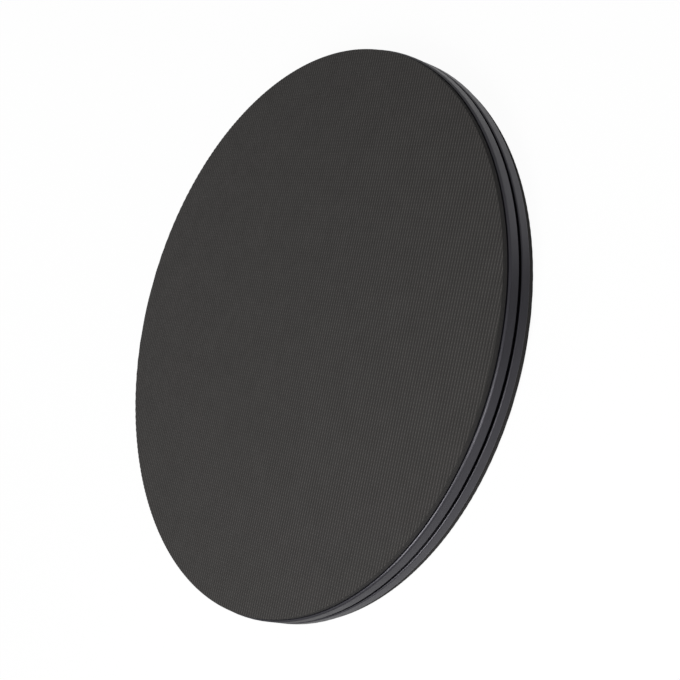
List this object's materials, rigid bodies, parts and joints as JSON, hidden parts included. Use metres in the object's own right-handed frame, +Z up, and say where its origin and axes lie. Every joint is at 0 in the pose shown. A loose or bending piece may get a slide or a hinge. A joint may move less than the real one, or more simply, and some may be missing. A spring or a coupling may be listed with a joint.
{
  "type": "pivot disc",
  "caption": "Flat round standing pivot disc: two black moulded discs faced with textured rubber mats turn against each other on a caged ball race and a centre pin.",
  "frame": {"origin": "centre of the bottom mat's floor face", "axes": "+Z up along the turning axis, out of the face that is stood on; X and Y lie in the plane of the discs"},
  "size_m": [0.3999, 0.4, 0.0266],
  "materials": {
    "mat_rubber": "matt charcoal rubber with a fine embossed grid",
    "disc_plastic": "satin black moulded plastic",
    "bond_film": "black bonding film",
    "race_steel": "bright pressed steel",
    "ball_steel": "polished bearing steel",
    "cage_nylon": "natural nylon",
    "screw_steel": "blackened steel",
    "pin_steel": "turned steel, zinc plated",
    "acetal": "natural acetal",
    "cap_plastic": "satin black moulded plastic"
  },
  "bodies": {
    "base": {"bottom_mat": "mat_rubber", "bottom_bond_film": "bond_film", "lower_disc": "disc_plastic", "lower_race": "race_steel", "lower_race_screws": "screw_steel", "pivot_pin": "pin_steel", "pin_flange_screws": "screw_steel", "thrust_washer": "acetal", "glide_buttons": "acetal", "pin_washer": "pin_steel", "retaining_ring": "screw_steel"},
    "rolling_cage": {"ball_cage": "cage_nylon", "bearing_balls": "ball_steel"},
    "turntable": {"upper_race": "race_steel", "upper_race_screws": "screw_steel", "upper_disc": "disc_plastic", "pivot_bush": "acetal", "hub_cap": "cap_plastic", "top_bond_film": "bond_film", "top_mat": "mat_rubber"}
  },
  "joints": [
    {"name": "turntable_spin", "type": "hinge", "parent": "base", "child": "turntable", "pos_m": [0, 0, 0.0133], "axis": [0, 0, 1], "continuous": true},
    {"name": "cage_spin", "type": "hinge", "parent": "base", "child": "rolling_cage", "pos_m": [0, 0, 0.0133], "axis": [0, 0, 1], "continuous": true}
  ],
  "couplings": [
    {"joint": "cage_spin", "follows": "turntable_spin", "ratio": 0.5}
  ]
}
